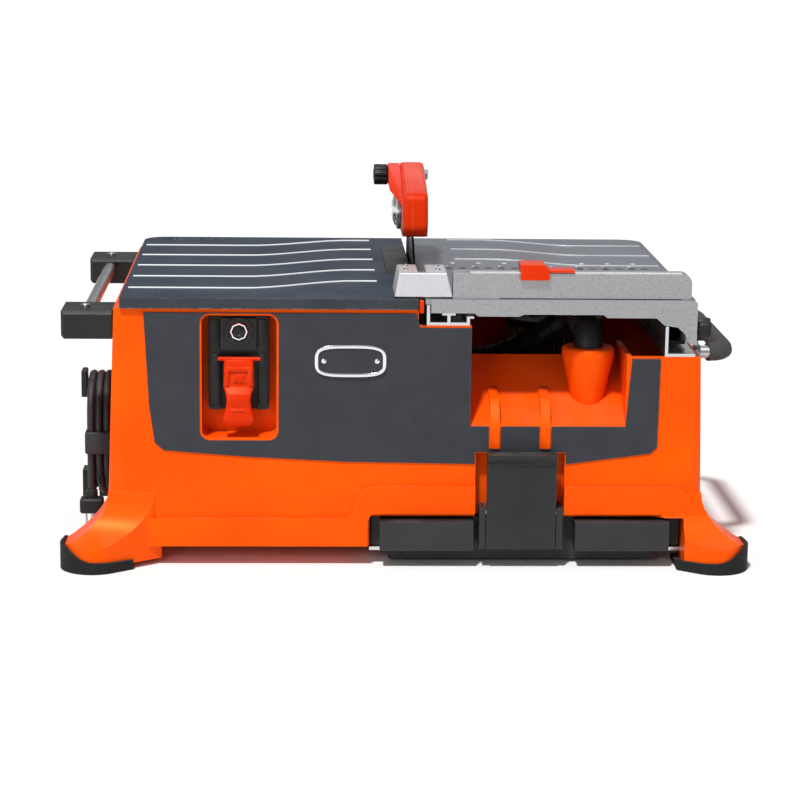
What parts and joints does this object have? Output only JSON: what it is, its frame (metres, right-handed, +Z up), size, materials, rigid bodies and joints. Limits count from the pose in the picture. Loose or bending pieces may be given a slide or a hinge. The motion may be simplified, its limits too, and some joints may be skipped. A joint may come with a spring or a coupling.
{
  "type": "tile saw",
  "caption": "Bench-top dry-cut tile saw: fixed table, sliding table with fence, hooded circular blade, cyclone dust scoop, latched dust tray and a mains lead wound on hooks.",
  "frame": {"origin": "centre of the bench footprint, on the bench", "axes": "+X to the right as the user stands, +Y away from the user, +Z up"},
  "size_m": [0.68, 0.492, 0.371],
  "materials": {
    "shell_plastic": "satin moulded plastic, orange",
    "panel_plastic": "matt dark slate film",
    "foot_rubber": "matt",
    "table_paint": "slate-blue coated casting",
    "cast_alloy": "speckled cast aluminium",
    "bright_alloy": "bright extruded aluminium",
    "black_plastic": "satin",
    "grip_foam": "speckled foam",
    "red_plastic": "semi-gloss",
    "steel": "brushed",
    "blade_steel": "dark brushed",
    "cord_rubber": "satin",
    "filter_paper": "pleated paper",
    "scale_white": "printed strip",
    "belt_rubber": "matt",
    "nylon": "satin"
  },
  "bodies": {
    "base": {"base_shell": "shell_plastic", "front_panel": "panel_plastic", "badge_plate": "panel_plastic", "foot_front_left": "foot_rubber", "foot_front_right": "foot_rubber", "foot_rear_left": "foot_rubber", "foot_rear_right": "foot_rubber", "left_table": "table_paint", "throat_insert": "black_plastic", "rail_left": "bright_alloy", "rail_right": "bright_alloy", "handle_bracket_front": "black_plastic", "handle_bracket_rear": "black_plastic", "handle_bar": "steel", "handle_screws": "steel", "right_handle_tube": "steel", "right_handle_grip": "grip_foam", "cord_hooks": "black_plastic", "cord_gland": "black_plastic", "cord_lead": "cord_rubber", "cord_hank": "cord_rubber", "cord_strap": "panel_plastic", "plug": "black_plastic", "cyclone_cone": "shell_plastic", "dust_hose": "black_plastic", "filter_cartridge": "filter_paper", "motor_housing": "cast_alloy", "drive_belt": "belt_rubber", "fan_housing": "black_plastic", "arbor_housing": "cast_alloy", "arbor_bearings": "steel", "blade_shroud": "black_plastic", "riving_knife": "blade_steel", "tray_runners": "steel", "switch_box": "black_plastic"},
    "table": {"sliding_table": "cast_alloy", "slide_bracket": "black_plastic", "glide_blocks": "nylon", "fence": "cast_alloy", "fence_end_block": "bright_alloy", "fence_scale": "scale_white"},
    "lock_knob": {"table_lock_knob": "black_plastic"},
    "stop": {"fence_stop": "red_plastic"},
    "tray": {"dust_tray": "black_plastic", "latch_pin": "steel"},
    "latch": {"tray_latch": "panel_plastic"},
    "paddle": {"switch_paddle": "red_plastic"},
    "breaker": {"breaker_button": "black_plastic"},
    "guard": {"guard_left": "red_plastic", "guard_right": "red_plastic", "guard_disc": "steel"},
    "guard_clamp": {"guard_knob": "black_plastic"},
    "arbor": {"arbor_shaft": "steel", "arbor_pulley": "steel", "blade": "blade_steel", "blade_flanges": "steel", "arbor_nut": "steel"},
    "rotor": {"motor_shaft": "steel", "motor_pulley": "steel", "fan_impeller": "nylon"}
  },
  "joints": [
    {"name": "table_slide", "type": "slide", "parent": "base", "child": "table", "axis": [0, 1, 0], "range_m": [-0.15, 0.165]},
    {"name": "lock_turn", "type": "hinge", "parent": "table", "child": "lock_knob", "pos_m": [0.29, -0.19, 0.236], "axis": [1, 0, 0], "range_deg": [0, 540]},
    {"name": "stop_slide", "type": "slide", "parent": "table", "child": "stop", "axis": [1, 0, 0], "range_m": [-0.039, 0.099]},
    {"name": "tray_slide", "type": "slide", "parent": "base", "child": "tray", "axis": [0, -1, 0], "range_m": [0, 0.28]},
    {"name": "latch_swing", "type": "hinge", "parent": "tray", "child": "latch", "pos_m": [0.113, -0.214, 0.056], "axis": [1, 0, 0], "range_deg": [0, 25]},
    {"name": "paddle_swing", "type": "hinge", "parent": "base", "child": "paddle", "pos_m": [-0.165, -0.193, 0.205], "axis": [-1, 0, 0], "range_deg": [0, 50]},
    {"name": "breaker_press", "type": "slide", "parent": "base", "child": "breaker", "axis": [0, 1, 0], "range_m": [0, 0.003], "stiffness_N_per_m": 300},
    {"name": "guard_lift", "type": "hinge", "parent": "base", "child": "guard", "pos_m": [0.013, 0.066, 0.357], "axis": [-1, 0, 0], "range_deg": [0, 40]},
    {"name": "guard_knob_turn", "type": "hinge", "parent": "guard", "child": "guard_clamp", "pos_m": [0.013, 0.066, 0.357], "axis": [1, 0, 0], "range_deg": [0, 360]},
    {"name": "motor_spin", "type": "hinge", "parent": "base", "child": "rotor", "pos_m": [-0.1, 0.06, 0.112], "axis": [1, 0, 0], "continuous": true},
    {"name": "arbor_spin", "type": "hinge", "parent": "base", "child": "arbor", "pos_m": [0.013, 0.032, 0.211], "axis": [1, 0, 0], "continuous": true}
  ],
  "couplings": [
    {"joint": "arbor_spin", "follows": "motor_spin", "ratio": 1.3}
  ]
}
